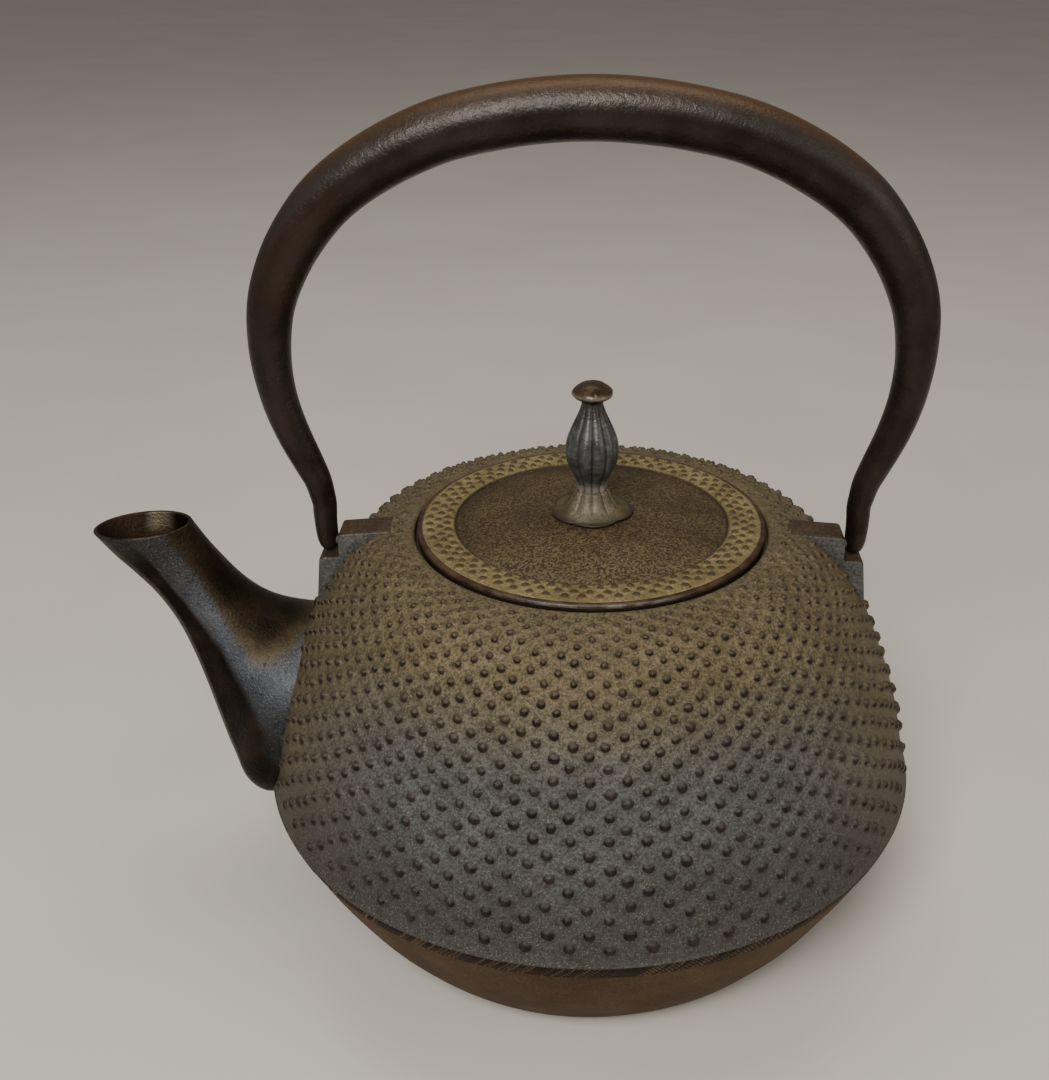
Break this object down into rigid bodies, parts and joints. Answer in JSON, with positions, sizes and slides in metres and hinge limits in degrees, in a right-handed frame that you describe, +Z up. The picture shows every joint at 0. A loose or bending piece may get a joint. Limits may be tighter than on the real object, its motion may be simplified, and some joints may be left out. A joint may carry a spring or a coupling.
{
  "type": "cast iron teapot",
  "caption": "Round hobnailed cast iron teapot with a horn-shaped spout, flush lift-off lid with a fluted knob, and a thick bail handle that folds down on two side lugs.",
  "frame": {"origin": "centre of the pot's flat base, on the pot's axis", "axes": "+Z up along the pot's axis, -X towards the spout, the bail handle stands in the XZ plane and folds about X"},
  "size_m": [0.2272, 0.1836, 0.2305],
  "materials": {
    "body_iron": "sandy cast, satin",
    "spout_iron": "smooth orange-peel cast, satin",
    "lid_iron": "sandy cast, satin",
    "knob_seat_metal": "worn satin",
    "knob_metal": "polished by touch",
    "stem_metal": "rubbed brown",
    "washer_metal": "dull",
    "handle_iron": "satin, rubbed",
    "pin_iron": "dull"
  },
  "bodies": {
    "pot": {"pot_body": "body_iron", "spout": "spout_iron"},
    "lid": {"lid": "lid_iron", "knob_stem": "stem_metal", "stem_washer": "washer_metal"},
    "knob": {"knob": "knob_metal", "knob_seat": "knob_seat_metal"},
    "handle": {"handle_tube": "handle_iron", "handle_tip_left": "handle_iron", "handle_tip_right": "handle_iron", "pivot_pin_left": "pin_iron", "pivot_pin_right": "pin_iron"}
  },
  "joints": [
    {"name": "lid_lift", "type": "slide", "parent": "pot", "child": "lid", "axis": [0, 0, 1], "range_m": [0, 0.057]},
    {"name": "knob_turn", "type": "hinge", "parent": "lid", "child": "knob", "pos_m": [0, 0, 0.13], "axis": [0, 0, 1], "continuous": true},
    {"name": "handle_fold", "type": "hinge", "parent": "pot", "child": "handle", "pos_m": [0, 0, 0.1095], "axis": [1, 0, 0], "range_deg": [-90, 90]}
  ]
}
